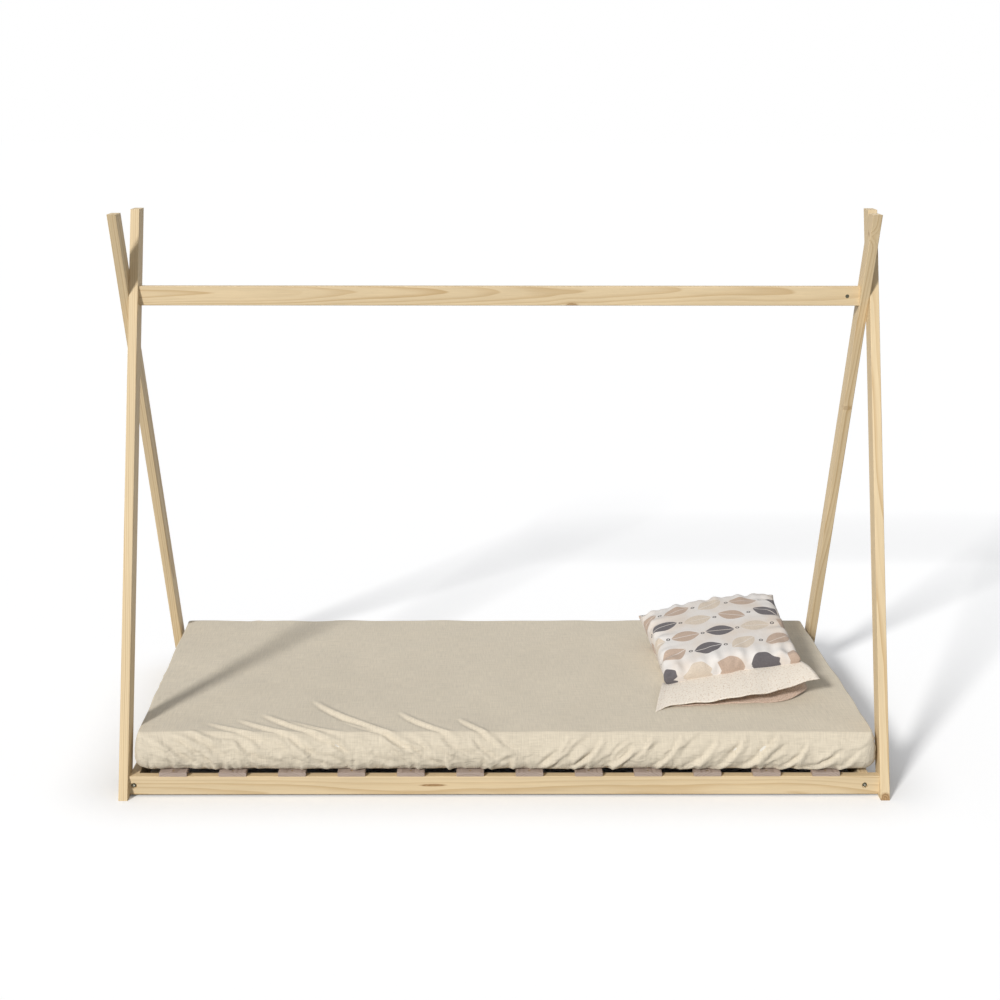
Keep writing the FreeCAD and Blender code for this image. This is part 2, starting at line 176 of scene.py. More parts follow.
wood = scaled(tree, wood, linear(tree, fibre, 0.22, 0.89))
wood = scaled(tree, wood, linear(tree, drift, 0.26, 0.87))
tree.links.new(wood, made["Color"])
tree.links.new(linear(tree, fibre, 0.22, 0.46), made["Roughness"])
tree.links.new(linear(tree, latewood, 0.5, fibre), made["Height"])

# A knot is an ellipsoid of brown wood, wavering at its rim and ringed inside. The grain is drawn round it.
KNOT_WAVER, KNOT_RIM_EASE, KNOT_RINGS = 0.7, (1.25, 0.7), 15.0
KNOT_DRAW, KNOT_DRAW_FADE = 0.8, -0.22
pine_knot, given, made = node_group(
    "pine_knot", {"Vector": "Vector", "Centre": "Vector", "Reach": "Vector"},
    {"Vector": "Vector", "Mask": "Float", "Tone": "Float"})
tree = pine_knot
away = vcalc(tree, "SUBTRACT", given["Vector"], given["Centre"])
share = vcalc(tree, "DIVIDE", away, given["Reach"])
waver = noise(tree, share, (1.3, 1.3, 1.3), 2.0, "Color")
waver = scaled(tree, vcalc(tree, "SUBTRACT", waver, (0.5, 0.5, 0.5)), KNOT_WAVER)
share = vcalc(tree, "LENGTH", vcalc(tree, "ADD", share, waver))
draw = calc(tree, "MULTIPLY", calc(tree, "MULTIPLY", share, share), KNOT_DRAW_FADE)
draw = calc(tree, "MULTIPLY", calc(tree, "EXPONENT", draw), KNOT_DRAW)
drawn = vcalc(tree, "SUBTRACT", given["Vector"], scaled(tree, away, draw))
tree.links.new(drawn, made["Vector"])
tree.links.new(eased(tree, share, *KNOT_RIM_EASE), made["Mask"])
tree.links.new(calc(tree, "SINE", calc(tree, "MULTIPLY", share, KNOT_RINGS)), made["Tone"])

PINE_EARLYWOOD = (0.735, 0.59, 0.38, 1.0)
PINE_LATEWOOD = (0.50, 0.33, 0.15, 1.0)
KNOT_HEART = (0.30, 0.18, 0.085, 1.0)
KNOT_RIM = (0.45, 0.29, 0.14, 1.0)
RINGS_PER_METRE = 190.0
GRAIN_RELIEF = 0.0006


def timber(name, along, centre, pith, runout, slide, earlywood=PINE_EARLYWOOD, latewood=PINE_LATEWOOD,
           knots=()):
    """Sawn timber on Object coordinates, which a Mapping node turns so that X runs along the bar.

    It then moves them so that the bar's centre lies at pith, across from the tree's own middle. Runout tilts
    the bar in the tree, in radians, and slide says where along the tree it was cut. Knots are given as a
    place on the bar, their reach along and across it, and how dark they are.
    """
    material, tree, shader = new_finish(name)
    turn = Vector(along).rotation_difference(Vector((1.0, 0.0, 0.0))).to_matrix()
    turn = Matrix.Rotation(runout[0], 3, "Y") @ Matrix.Rotation(runout[1], 3, "Z") @ turn
    move = Vector((slide, *pith)) - turn @ Vector(centre)
    place = add_node(tree, "ShaderNodeTexCoord").outputs["Object"]
    mapping = {"Vector": place, "Rotation": turn.to_euler(), "Location": move}
    place = add_node(tree, "ShaderNodeMapping", mapping).outputs["Vector"]
    knot_masks = []
    for knot_place, knot_reach, knot_depth in knots:
        knot_centre = turn @ Vector(knot_place) + move
        knot = use_group(tree, pine_knot, {"Vector": place, "Centre": knot_centre, "Reach": knot_reach})
        place = knot["Vector"]
        knot_masks.append((knot["Tone"], calc(tree, "MULTIPLY", knot["Mask"], knot_depth)))
    grain = use_group(tree, pine_grain, {
        "Vector": place, "Rings": RINGS_PER_METRE, "Earlywood": earlywood, "Latewood": latewood})
    colour = grain["Color"]
    for knot_tone, knot_mask in knot_masks:
        knot_colour = blended(tree, eased(tree, knot_tone, -1.0, 1.0), KNOT_HEART, KNOT_RIM)
        colour = blended(tree, knot_mask, colour, knot_colour)
    tree.links.new(colour, shader["Base Color"])
    tree.links.new(grain["Roughness"], shader["Roughness"])
    tree.links.new(relief(tree, grain["Height"], 0.35, GRAIN_RELIEF), shader["Normal"])
    shader["Specular IOR Level"].default_value = 0.3
    return material


# Middles of the posts and of the rails at their feet, as distances from the middle of the bed and as heights
INNER_POST_X, OUTER_POST_X, POST_CROSSING = 0.955, 0.979, 1.217
RAIL_Y, RAIL_Z = 0.438, 0.03
POST_LEAN = math.atan2(RAIL_Y, POST_CROSSING - RAIL_Z)
BACKWARD_POST = (0.0, math.sin(POST_LEAN), math.cos(POST_LEAN))
FORWARD_POST = (0.0, -math.sin(POST_LEAN), math.cos(POST_LEAN))
for post, along, x, pith, runout, slide, knots in (
        ("left_front", BACKWARD_POST, -INNER_POST_X, (0.05, 0.046), (0.012, -0.016), 1.0, []),
        ("left_back", FORWARD_POST, -OUTER_POST_X, (0.038, -0.06), (-0.01, 0.014), 5.0, []),
        ("right_front", BACKWARD_POST, OUTER_POST_X, (-0.047, 0.042), (0.014, 0.012), 9.0,
         [((0.979, -0.474, 0.004), (0.016, 0.012, 0.012), 1.0)]),
        ("right_back", FORWARD_POST, INNER_POST_X, (-0.062, 0.03), (-0.012, -0.012), 13.0,
         [((0.95, 0.092, 0.897), (0.007, 0.015, 0.015), 0.40),
          ((0.952, -0.07, 1.385), (0.009, 0.014, 0.014), 0.45)])):
    pine = timber(f"{post}_pine", along, (x, 0.0, POST_CROSSING), pith, runout, slide, knots=knots)
    dress(f"{post}_post", pine)


# Ridge beam
# One pine bar on edge between the inner posts, held at each end by the bolt through the crossing and by a
# dowel beside it. A small knot shows low on its front.

ALONG_BED = (1.0, 0.0, 0.0)
dress("ridge_beam", timber(
    "ridge_pine", ALONG_BED, (0.0, 0.0, POST_CROSSING), (0.052, -0.012), (0.006, 0.021), 17.0,
    knots=[((0.189, -0.014, 1.192), (0.018, 0.012, 0.008), 0.85)]))


# Side rails
# Two pine bars on edge along the front and the back of the bed, bolted and dowelled to the feet of the
# posts. The slats lie on them. A long cut-through knot shows on the front one.

RAIL_SHIFT = 0.012
dress("front_side_rail", timber(
    "front_rail_pine", ALONG_BED, (RAIL_SHIFT, -RAIL_Y, RAIL_Z), (0.066, 0.02), (0.003, 0.008), 21.0,
    knots=[((-0.17, -0.45, 0.031), (0.034, 0.008, 0.0035), 1.0)]))
dress("back_side_rail", timber(
    "back_rail_pine", ALONG_BED, (-RAIL_SHIFT, RAIL_Y, RAIL_Z), (-0.058, 0.024), (-0.004, 0.01), 25.0))


# End rails
# Two shorter pine bars on edge between the side rails, inside the inner posts. A bolt through each side rail
# pulls on a barrel nut in each end of them.

ACROSS_BED = (0.0, 1.0, 0.0)
END_RAIL_X = 0.931
for side, end in ((-1, "left"), (1, "right")):
    dress(f"{end}_end_rail", timber(
        f"{end}_end_pine", ACROSS_BED, (side * END_RAIL_X, 0.0, RAIL_Z), (0.055, side * 0.03),
        (0.005, side * 0.012), 31.0 + side))


# Slats
# Twelve flat boards of plain-sawn softwood, greyer than the bars and left as planed. They lie across the
# side rails, with a screw at each end.

SLAT_EARLYWOOD = (0.43, 0.35, 0.305, 1.0)
SLAT_LATEWOOD = (0.27, 0.20, 0.16, 1.0)
# Least and most of how far a slat was cut beside the pith and above it, and of its tilt in the tree
SLAT_CUT_LEAST, SLAT_CUT_MOST = (-0.03, 0.05, -0.02), (0.03, 0.09, 0.02)
slat_draw = np.random.default_rng(7)
for number in range(1, 13):
    low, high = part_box(f"slat_{number:02d}")
    pith_side, pith_down, tilt = slat_draw.uniform(SLAT_CUT_LEAST, SLAT_CUT_MOST)
    dress(f"slat_{number:02d}", timber(
        f"slat_wood_{number:02d}", ACROSS_BED, (low + high) / 2, (pith_side, pith_down), (tilt, tilt / 2),
        40.0 + 3.0 * number, SLAT_EARLYWOOD, SLAT_LATEWOOD))


# Bolts, barrel nuts, slat screws and dowels
# Zinc-plated socket bolts in counterbores, each pulling on a steel barrel nut laid crosswise in the wood,
# yellow-passivated countersunk screws in the slats, and turned beech dowels.

PLATE_CLOUDS, TURNING_MARKS = (420.0, 420.0, 420.0), (2600.0, 2600.0, 300.0)
plating, given, made = node_group(
    "plating", {"Vector": "Vector", "Tint": "Color"}, {"Color": "Color", "Roughness": "Float"})
tree = plating
clouds = noise(tree, given["Vector"], PLATE_CLOUDS, 3.0)
turning = noise(tree, given["Vector"], TURNING_MARKS, 1.0)
plated = scaled(tree, given["Tint"], linear(tree, clouds, 0.5, 0.72))
tree.links.new(plated, made["Color"])
cloudy = linear(tree, clouds, 0.2, 0.16)
tree.links.new(linear(tree, turning, 0.25, cloudy), made["Roughness"])


def plated_steel(name, tint):
    """Plated steel with cloudy plating and fine turning marks."""
    material, tree, shader = new_finish(name)
    place = add_node(tree, "ShaderNodeTexCoord").outputs["Object"]
    plate = use_group(tree, plating, {"Vector": place, "Tint": tint})
    tree.links.new(plate["Color"], shader["Base Color"])
    tree.links.new(plate["Roughness"], shader["Roughness"])
    shader["Metallic"].default_value = 1.0
    return material


DARK_ZINC = (0.12, 0.116, 0.084, 1.0)
PAINTED_HIGHLIGHT = (0.72, 0.70, 0.62, 1.0)
YELLOW_PLATE = (0.62, 0.51, 0.28, 1.0)
BEECH_EARLYWOOD = (0.60, 0.40, 0.235, 1.0)
BEECH_LATEWOOD = (0.47, 0.285, 0.15, 1.0)
zinc_plate = plated_steel("zinc_plate", DARK_ZINC)
for node in ("ridge_bolts", "post_bolts", "ridge_barrel_nuts", "post_barrel_nuts", "end_rail_barrel_nuts"):
    dress(node, zinc_plate)

# The bolts in the side rails have a painted highlight: their sockets are painted bright, out to a radius
# round each bolt's axis
SOCKET_RADIUS, SOCKET_RIM = 0.0020, 0.0004
highlit_plate = zinc_plate.copy()
highlit_plate.name = "zinc_plate_painted_highlight"
tree = highlit_plate.node_tree
shader = tree.nodes["Principled BSDF"].inputs
place = vcalc(tree, "ABSOLUTE", add_node(tree, "ShaderNodeTexCoord").outputs["Object"])
place = vcalc(tree, "SUBTRACT", place, (END_RAIL_X, 0.0, RAIL_Z))
from_axis = vcalc(tree, "LENGTH", vcalc(tree, "MULTIPLY", place, (1.0, 0.0, 1.0)))
dark_plate = shader["Base Color"].links[0].from_socket
# Painted highlight: a bright colour blended over the plate in the middle of each socket
painted_highlight_mask = eased(tree, from_axis, SOCKET_RADIUS + SOCKET_RIM, SOCKET_RADIUS - SOCKET_RIM)
tree.links.new(blended(tree, painted_highlight_mask, dark_plate, PAINTED_HIGHLIGHT), shader["Base Color"])
dress("end_rail_bolts", highlit_plate)
dress("slat_screws", plated_steel("yellow_passivation", YELLOW_PLATE))
dress("dowels", timber("dowel_beech", ALONG_BED, (0.0, 0.0, 0.0), (0.3, 0.2), (0.0, 0.0), 80.0,
                       BEECH_EARLYWOOD, BEECH_LATEWOOD))


# Mattress
# A foam block in a pale woven cover, rounded at its edges. It lies loose on the slats, inside the fitted
# sheet, and shows only from below, between the slats. Its ends slant a little because the posts of an end
# stand one behind the other.

# The bed's sizes are those of the sheeted mattress. Its skew slants the ends, and its shift moves them along.
SLAT_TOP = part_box("slat_01")[1].z
BED_LENGTH, BED_WIDTH, BED_THICKNESS, BED_CORNER = 1.89531, 0.896, 0.095, 0.04
BED_SHIFT, BED_SKEW = 0.0015, 0.033140


def fold_over(along, across, length, width, corner, shoulder, first_bend, side, tuck, under, end_corner):
    """Places of a flat cloth's points when it is folded over a block with rounded edges.

    The cloth is flat over the middle of the block. Past that, by the path from the middle's edge, it goes
    on flat, bends by the first bend, then goes round the shoulder, down the side, round the tuck and back
    underneath, so that a point's inset from the block's outline and its drop are sums of those runs. In plan
    each path is a rectangle with rounded corners, and the cloth's square corner is wrapped round the arc,
    whose radius is at least the end corner where the cloth is tucked. Returns x, y, drop and path.
    """
    middle_x, middle_y = length / 2 - corner, width / 2 - corner
    past_x = np.maximum(np.abs(along) - middle_x, 0.0)
    past_y = np.maximum(np.abs(across) - middle_y, 0.0)
    path = np.maximum(past_x, past_y)
    runs = []
    left = path
    flat_run = corner - shoulder * (1 - math.sin(first_bend))
    for run in (flat_run, shoulder * (math.pi / 2 - first_bend), side, tuck * math.pi / 2, under):
        runs.append(np.clip(left, 0.0, run))
        left = left - run
    bend, turn = first_bend + runs[1] / shoulder, runs[3] / max(tuck, 1e-9)
    inset = corner - runs[0] - shoulder * (np.sin(bend) - math.sin(first_bend))
    inset = inset + tuck * (1 - np.cos(turn)) + runs[4]
    drop = shoulder * (math.cos(first_bend) - np.cos(bend)) + runs[2] + tuck * np.sin(turn)
    arc = np.where(runs[3] > 0, np.maximum(corner - inset, end_corner), corner - inset)
    smaller, larger = np.minimum(past_x, past_y), np.maximum(path, 1e-9)
    angle = math.pi / 4 * smaller / larger
    angle = np.where(past_x >= past_y, angle, math.pi / 2 - angle)
    reach_x = (length / 2 - inset - arc) / middle_x
    reach_y = (width / 2 - inset - arc) / middle_y
    x = np.minimum(np.abs(along), middle_x) * reach_x + arc * np.cos(angle) * (past_x > 0)
    y = np.minimum(np.abs(across), middle_y) * reach_y + arc * np.sin(angle) * (past_y > 0)
    return np.sign(along) * x, np.sign(across) * y, drop, path


def spaced(middle, middle_count, past, past_count):
    """Places along a cloth: evenly over its middle, then evenly past each of the middle's edges."""
    flat = np.linspace(-middle, middle, middle_count + 1)
    beyond = middle + np.linspace(0.0, past, past_count + 1)[1:]
    return np.concatenate([-beyond[::-1], flat, beyond])


def grid_quads(index):
    """Corner numbers of the quads of a grid of numbered points, counted anticlockwise from above."""
    return np.stack([index[:-1, :-1], index[:-1, 1:], index[1:, 1:], index[1:, :-1]], axis=-1).reshape(-1, 4)


def put_in(name, data):
    """A new object in the scene, with its data."""
    made = bpy.data.objects.new(name, data)
    scene.collection.objects.link(made)
    return made


def mesh_piece(name, points, quads, flat, material):
    """A smooth-shaded mesh of quads, with each point's place in the flat cloth, in metres, as its UV map."""
    mesh = bpy.data.meshes.new(name)
    mesh.from_pydata(points, [], quads)
    corners = np.empty(len(mesh.loops), np.int32)
    mesh.loops.foreach_get("vertex_index", corners)
    mesh.uv_layers.new(name="flat_cloth").data.foreach_set("uv", flat[corners].astype(np.float32).ravel())
    mesh.polygons.foreach_set("use_smooth", np.ones(len(mesh.polygons), bool))
    mesh.materials.append(material)
    mesh.update()
    return put_in(name, mesh)


def paired_sheets(upper, lower):
    """Points and quads of two grids of points, one above the other, joined at their common border."""
    rows, columns = upper.shape[:2]
    above = np.arange(rows * columns).reshape(rows, columns)
    below = above.copy()
    below[1:-1, 1:-1] = rows * columns + np.arange((rows - 2) * (columns - 2)).reshape(rows - 2, columns - 2)
    points = np.concatenate([upper.reshape(-1, 3), lower[1:-1, 1:-1].reshape(-1, 3)])
    return points, np.concatenate([grid_quads(above), grid_quads(below)[:, ::-1]])


def parts(tree, vector):
    """A vector's X, Y and Z."""
    return add_node(tree, "ShaderNodeSeparateXYZ", {0: vector}).outputs


# Threads of two directions cross over and under in turn. Each thread has its own thickness, in slubs along
# it, which shows in the tone and in the height.
WARP_SLUBS, WEFT_SLUBS = (420.0, 22.0, 1.0), (22.0, 420.0, 1.0)
plain_weave, given, made = node_group(
    "plain_weave", {"Vector": "Vector", "Threads": "Float", "Slub": "Float"},
    {"Tone": "Float", "Height": "Float"})
tree = plain_weave
warp_slub = noise(tree, given["Vector"], WARP_SLUBS, 3.0)
weft_slub = noise(tree, given["Vector"], WEFT_SLUBS, 3.0)
turns = scaled(tree, given["Vector"], calc(tree, "MULTIPLY", given["Threads"], math.pi))
turns = parts(tree, turns)
over = calc(tree, "MULTIPLY", calc(tree, "SINE", turns["X"]), calc(tree, "SINE", turns["Y"]))
slub = calc(tree, "SUBTRACT", calc(tree, "ADD", warp_slub, weft_slub), 1.0)
slub = calc(tree, "MULTIPLY", slub, given["Slub"])
tree.links.new(linear(tree, over, 0.04, calc(tree, "ADD", slub, 1.0)), made["Tone"])
tree.links.new(linear(tree, over, 0.5, calc(tree, "MULTIPLY", slub, 2.0)), made["Height"])


def new_cloth(name, threads, slub):
    """A new cloth: its material, node tree, shader's inputs, place in the flat cloth and weave."""
    material, tree, shader = new_finish(name)
    flat_place = add_node(tree, "ShaderNodeUVMap", uv_map="flat_cloth").outputs["UV"]
    weave = use_group(tree, plain_weave, {"Vector": flat_place, "Threads": threads, "Slub": slub})
    return material, tree, shader, flat_place, weave


def finish_cloth(tree, shader, colour, weave, depth, roughness, sheen):
    """Gives a cloth its colour, toned by the weave, the weave's relief, its roughness and its sheen."""
    tree.links.new(scaled(tree, colour, weave["Tone"]), shader["Base Color"])
    tree.links.new(relief(tree, weave["Height"], 0.3, depth), shader["Normal"])
    shader["Roughness"].default_value = roughness
    shader["Sheen Weight"].default_value = sheen


TICKING_GROUND = (0.74, 0.715, 0.66, 1.0)
TICKING_STRIPE = (0.52, 0.52, 0.53, 1.0)
STRIPE_PITCH = 0.045
TICKING_WEAVE, TICKING_FINISH = (900.0, 0.15), (0.0005, 0.9, 0.1)
ticking, tree, shader, flat_place, weave = new_cloth("mattress_ticking", *TICKING_WEAVE)
stripe = calc(tree, "MULTIPLY", parts(tree, flat_place)["Y"], 2 * math.pi / STRIPE_PITCH)
stripe = calc(tree, "SINE", stripe)
cover = blended(tree, eased(tree, stripe, 0.90, 0.95), TICKING_GROUND, TICKING_STRIPE)
finish_cloth(tree, shader, cover, weave, *TICKING_FINISH)

MATTRESS_INSIDE_SHEET = 0.009
BLOCK_ROUND = 0.036
BLOCK_LIFT = 0.002
BLOCK_COLUMNS, BLOCK_ROWS, BLOCK_EDGE_ROWS = 90, 44, 14
block = [size - 2 * MATTRESS_INSIDE_SHEET for size in (BED_LENGTH, BED_WIDTH, BED_THICKNESS)]
half_side = block[2] / 2 - BLOCK_ROUND
half_path = BED_CORNER - BLOCK_ROUND + BLOCK_ROUND * math.pi / 2 + half_side
along, across = np.meshgrid(spaced(block[0] / 2 - BED_CORNER, BLOCK_COLUMNS, half_path, BLOCK_EDGE_ROWS),
                            spaced(block[1] / 2 - BED_CORNER, BLOCK_ROWS, half_path, BLOCK_EDGE_ROWS))
x, y, drop, _ = fold_over(along, across, block[0], block[1], BED_CORNER, BLOCK_ROUND, 0.0, half_side,
                          0.0, 0.0, BED_CORNER)
x = x + BED_SHIFT - y * BED_SKEW
block_top = SLAT_TOP + BED_THICKNESS - MATTRESS_INSIDE_SHEET
block_bottom = SLAT_TOP + BLOCK_LIFT
squeeze = (block_top - block_bottom) / block[2]
points, quads = paired_sheets(np.stack([x, y, block_top - drop * squeeze], axis=-1),
                              np.stack([x, y, block_bottom + drop * squeeze], axis=-1))
flat = np.stack([along, across], axis=-1)
flat = np.concatenate([flat.reshape(-1, 2), flat[1:-1, 1:-1].reshape(-1, 2)])
mattress = mesh_piece("mattress_block", points, quads, flat, ticking)
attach(mattress, "mattress_body")
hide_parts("mattress")


# Fitted sheet
# Beige linen, cut with square corners that are sewn up, and drawn over the mattress by an elastic hem
# underneath. The pull of the hem leaves slanting creases in its sides and long folds in its top.

# Past the bed's crowned top the sides bend sharply, go round the broad arc of a shoulder, then straight down
# to a tuck
BED_SHOULDER, BED_TUCK, BED_CROWN = 0.08, 0.029, 0.003
SHOULDER_BEND = math.radians(36.0)
SHEET_UNDER, SHEET_THICKNESS, SHEET_LIFT = 0.066, 0.0012, 0.0003
SHEET_END_CORNER = 0.012
shoulder_drop = BED_SHOULDER * math.cos(SHOULDER_BEND)
sheet_side = BED_THICKNESS - shoulder_drop - BED_TUCK
sheet_past = (BED_CORNER - BED_SHOULDER * (1 - math.sin(SHOULDER_BEND)) + BED_TUCK * math.pi / 2
              + BED_SHOULDER * (math.pi / 2 - SHOULDER_BEND) + sheet_side + SHEET_UNDER)
middle_x, middle_y = BED_LENGTH / 2 - BED_CORNER, BED_WIDTH / 2 - BED_CORNER
# The grid's rows lie closer at the top's edge, down the front and as far over the top as the long folds reach
EDGE_ROWS, FRONT_ROWS, OTHER_ROWS = (0.0, 0.004, 0.007, 0.01), 44, 31
FOLD_REACH, FOLD_ROWS, TOP_ROWS, TOP_COLUMNS = 0.25, 53, 34, 471
front_path, other_path = (np.concatenate([EDGE_ROWS, np.linspace(EDGE_ROWS[-1], sheet_past, count)[1:]])
                          for count in (FRONT_ROWS, OTHER_ROWS))
top_rows = np.concatenate([-middle_y + np.linspace(0.0, FOLD_REACH, FOLD_ROWS)[:-1],
                           np.linspace(FOLD_REACH - middle_y, middle_y, TOP_ROWS)[:-1]])
top_columns = np.linspace(-middle_x, middle_x, TOP_COLUMNS)
along, across = np.meshgrid(
    np.concatenate([-middle_x - other_path[:0:-1], top_columns, middle_x + other_path[1:]]),
    np.concatenate([-middle_y - front_path[:0:-1], top_rows, middle_y + other_path]))

# Widths of a crease's two sides and of the hollow past it, and the hollow's distance, as shares of its width
SLOW_SIDE, STEEP_SIDE, HOLLOW_WIDTH, HOLLOW_AWAY = 1.9, 0.8, 1.4, 1.6
HOLLOW_DEPTH, CREASE_TAPER = 0.6, 0.7


def crease(s, o, start, end, height, width, bow):
    """A crease between two places of the flat cloth, with a slow side and a steep one.

    Across the line it climbs as a Gaussian, over twice as wide on its slow side as on its steep one, which
    is the right-hand side of the way from start to end, seen from outside. Past the steep side lies a
    shallow hollow. Along the line it rises and falls as a sine, and the line bows by a share of its length.
    """
    run = np.subtract(end, start)
    length = np.hypot(*run)
    forth = ((s - start[0]) * run[0] + (o - start[1]) * run[1]) / length ** 2
    aside = ((o - start[1]) * run[0] - (s - start[0]) * run[1]) / length
    aside = aside + bow * length * (4 * forth * (1 - forth))
    taper = np.sin(np.pi * np.clip(forth, 0.0, 1.0)) ** CREASE_TAPER
    ridge = np.exp(-(aside / np.where(aside < 0, width * SLOW_SIDE, width * STEEP_SIDE)) ** 2)
    hollow = np.exp(-((aside - HOLLOW_AWAY * width) / (HOLLOW_WIDTH * width)) ** 2)
    return height * taper * (ridge - HOLLOW_DEPTH * hollow)


# Creases of the front, as places along it and by the path past the middle's front edge: the long folds that
# start on the top, with heights and widths, then those of the side, which run down towards the bed's middle
FRONT_FOLDS = [
    ((-0.77, -0.05), (-0.56, 0.034), 0.0060, 0.0048), ((-0.69, -0.07), (-0.51, 0.026), 0.0062, 0.0046),
    ((-0.63, -0.10), (-0.41, 0.041), 0.0078, 0.0050), ((-0.565, -0.06), (-0.41, 0.012), 0.0055, 0.0045),
    ((-0.505, -0.189), (-0.235, 0.046), 0.0090, 0.0056),
    ((-0.42, -0.064), (-0.29, 0.012), 0.0045, 0.0045), ((-0.275, -0.114), (-0.115, 0.03), 0.0070, 0.0050),
    ((-0.12, -0.079), (-0.01, 0.046), 0.0065, 0.0048),
]
FRONT_CREASES = [
    ((-0.88, 0.023), (-0.76, 0.102)), ((-0.80, 0.003), (-0.67, 0.028)), ((-0.775, 0.028), (-0.69, 0.086)),
    ((-0.692, 0.03), (-0.60, 0.095)), ((-0.65, 0.034), (-0.555, 0.068)), ((-0.56, 0.019), (-0.45, 0.079)),
    ((-0.52, 0.052), (-0.44, 0.106)), ((-0.45, 0.034), (-0.38, 0.075)), ((-0.366, 0.041), (-0.27, 0.097)),
    ((-0.32, 0.012), (-0.23, 0.061)), ((-0.25, 0.039), (-0.15, 0.099)), ((-0.17, 0.023), (-0.08, 0.075)),
    ((-0.09, 0.028), (0.00, 0.093)), ((-0.03, 0.023), (0.04, 0.064)),
    ((0.16, 0.03), (0.07, 0.106)), ((0.25, 0.023), (0.15, 0.111)), ((0.33, 0.043), (0.25, 0.102)),
    ((0.375, 0.019), (0.31, 0.088)), ((0.45, 0.014), (0.37, 0.106)), ((0.54, 0.03), (0.44, 0.111)),
    ((0.61, 0.019), (0.52, 0.115)), ((0.67, 0.039), (0.59, 0.111)), ((0.70, 0.016), (0.64, 0.068)),
    ((0.77, 0.041), (0.68, 0.115)), ((0.85, 0.064), (0.74, 0.111)), ((0.90, 0.057), (0.83, 0.113)),
]
FOLD_BOW, CREASE_BOW = -0.06, 0.1
# Least and most of the heights and widths of the given creases, and of the measures of those that are drawn
GIVEN_HEIGHT, GIVEN_WIDTH = (0.0042, 0.0072), (0.0042, 0.0060)
DRAWN_HEIGHT, DRAWN_WIDTH = (0.0020, 0.0042), (0.0036, 0.0055)
DRAWN_DEPTH, DRAWN_REACH, DRAWN_SLOPE = (0.035, 0.095), (0.018, 0.045), (0.45, 0.95)
LEAN_CHANGES_AT = -0.02
GATHER_HEIGHT, GATHER_WIDTH, GATHER_LEAN = (0.0010, 0.0040), (0.004, 0.007), (-0.012, 0.012)
GATHER_TOP, GATHER_FOOT = 0.07, 0.128
# One drawn crease or gather to each such length of a side
FRONT_PITCH, BACK_PITCH, END_PITCH, GATHER_PITCH = 0.026, 0.024, 0.032, 0.03
sheet_draw = np.random.default_rng(3)


def side_creases(s, o, half, pitch, folds=(), creases=()):
    """Height of the creases of one side, by the place along it and the path past the middle's edge.

    Given folds and creases come first. Then come drawn ones, which slant up towards the nearer corner, one to
    each pitch of the side, and short upright gathers where the hem draws the cloth under.
    """
    height = np.zeros_like(s)
    for start, end, rise, width in folds:
        height += crease(s, o, start, end, rise, width, FOLD_BOW)
    for start, end in creases:
        steep_side = np.sign(start[0] - end[0])
        height += crease(s * steep_side, o, (start[0] * steep_side, start[1]), (end[0] * steep_side, end[1]),
                         sheet_draw.uniform(*GIVEN_HEIGHT), sheet_draw.uniform(*GIVEN_WIDTH), CREASE_BOW)
    for _ in range(int(2 * half / pitch)):
        middle = sheet_draw.uniform(-half, half)
        depth, reach = sheet_draw.uniform(*DRAWN_DEPTH), sheet_draw.uniform(*DRAWN_REACH)
        outer = np.sign(middle - LEAN_CHANGES_AT)
        fall = reach * sheet_draw.uniform(*DRAWN_SLOPE)
        start, end = (-outer * middle - reach, depth - fall), (-outer * middle + reach, depth + fall)
        height += crease(-s * outer, o, start, end, sheet_draw.uniform(*DRAWN_HEIGHT),
                         sheet_draw.uniform(*DRAWN_WIDTH), CREASE_BOW)
    for _ in range(int(2 * half / GATHER_PITCH)):
        middle, lean = sheet_draw.uniform(-half, half), sheet_draw.uniform(*GATHER_LEAN)
        height += crease(s, o, (middle - lean, GATHER_TOP), (middle + lean, GATHER_FOOT),
                         sheet_draw.uniform(*GATHER_HEIGHT), sheet_draw.uniform(*GATHER_WIDTH), CREASE_BOW)
    return height


# Broad, faint waves over the whole sheet, then the creases of its four sides
WAVE_COUNT, WAVE_HEIGHT = 26, 0.00022
WAVES_LEAST, WAVES_MOST = (0.0, 0.0, 0.10), (math.pi, 2 * math.pi, 0.32)
wrinkles = np.zeros_like(along)
for _ in range(WAVE_COUNT):
    heading, turn, wave = sheet_draw.uniform(WAVES_LEAST, WAVES_MOST)
    forth = along * math.cos(heading) + across * math.sin(heading)
    wrinkles += WAVE_HEIGHT * np.sin(forth * 2 * math.pi / wave + turn)
wrinkles += side_creases(along, -across - middle_y, middle_x, FRONT_PITCH, FRONT_FOLDS, FRONT_CREASES)
wrinkles += side_creases(-along, across - middle_y, middle_x, BACK_PITCH)
wrinkles += side_creases(across, along - middle_x, middle_y, END_PITCH)
wrinkles += side_creases(-across, -along - middle_x, middle_y, END_PITCH)

# The shoulder's arc sets the top back from the widest line. At the ends it does so only by a share, and the
# rest is given back to x, easing in before the end.
END_BULGE, END_EASE = 0.35, 0.12
CROWN_REACH = 0.03
x, y, drop, path = fold_over(along, across, BED_LENGTH, BED_WIDTH, BED_CORNER, BED_SHOULDER, SHOULDER_BEND,
                             sheet_side, BED_TUCK, SHEET_UNDER, SHEET_END_CORNER)
above_arc_foot = np.clip(shoulder_drop - drop, 0.0, None)
set_back = BED_SHOULDER - np.sqrt(BED_SHOULDER ** 2 - above_arc_foot ** 2)
end_share = np.clip((np.abs(along) - middle_x) / END_EASE + 1, 0.0, 1.0)
x = x + np.sign(along) * (1 - END_BULGE) * set_back * end_share
crown = 1 - (along / (middle_x + sheet_past)) ** 6
crown = BED_CROWN * crown * (1 - (across / (middle_y + sheet_past)) ** 2) * np.exp(-(path / CROWN_REACH) ** 2)
x = x + BED_SHIFT - y * BED_SKEW
smooth = np.stack([x, y, SLAT_TOP + SHEET_LIFT + BED_THICKNESS - drop + crown], axis=-1)
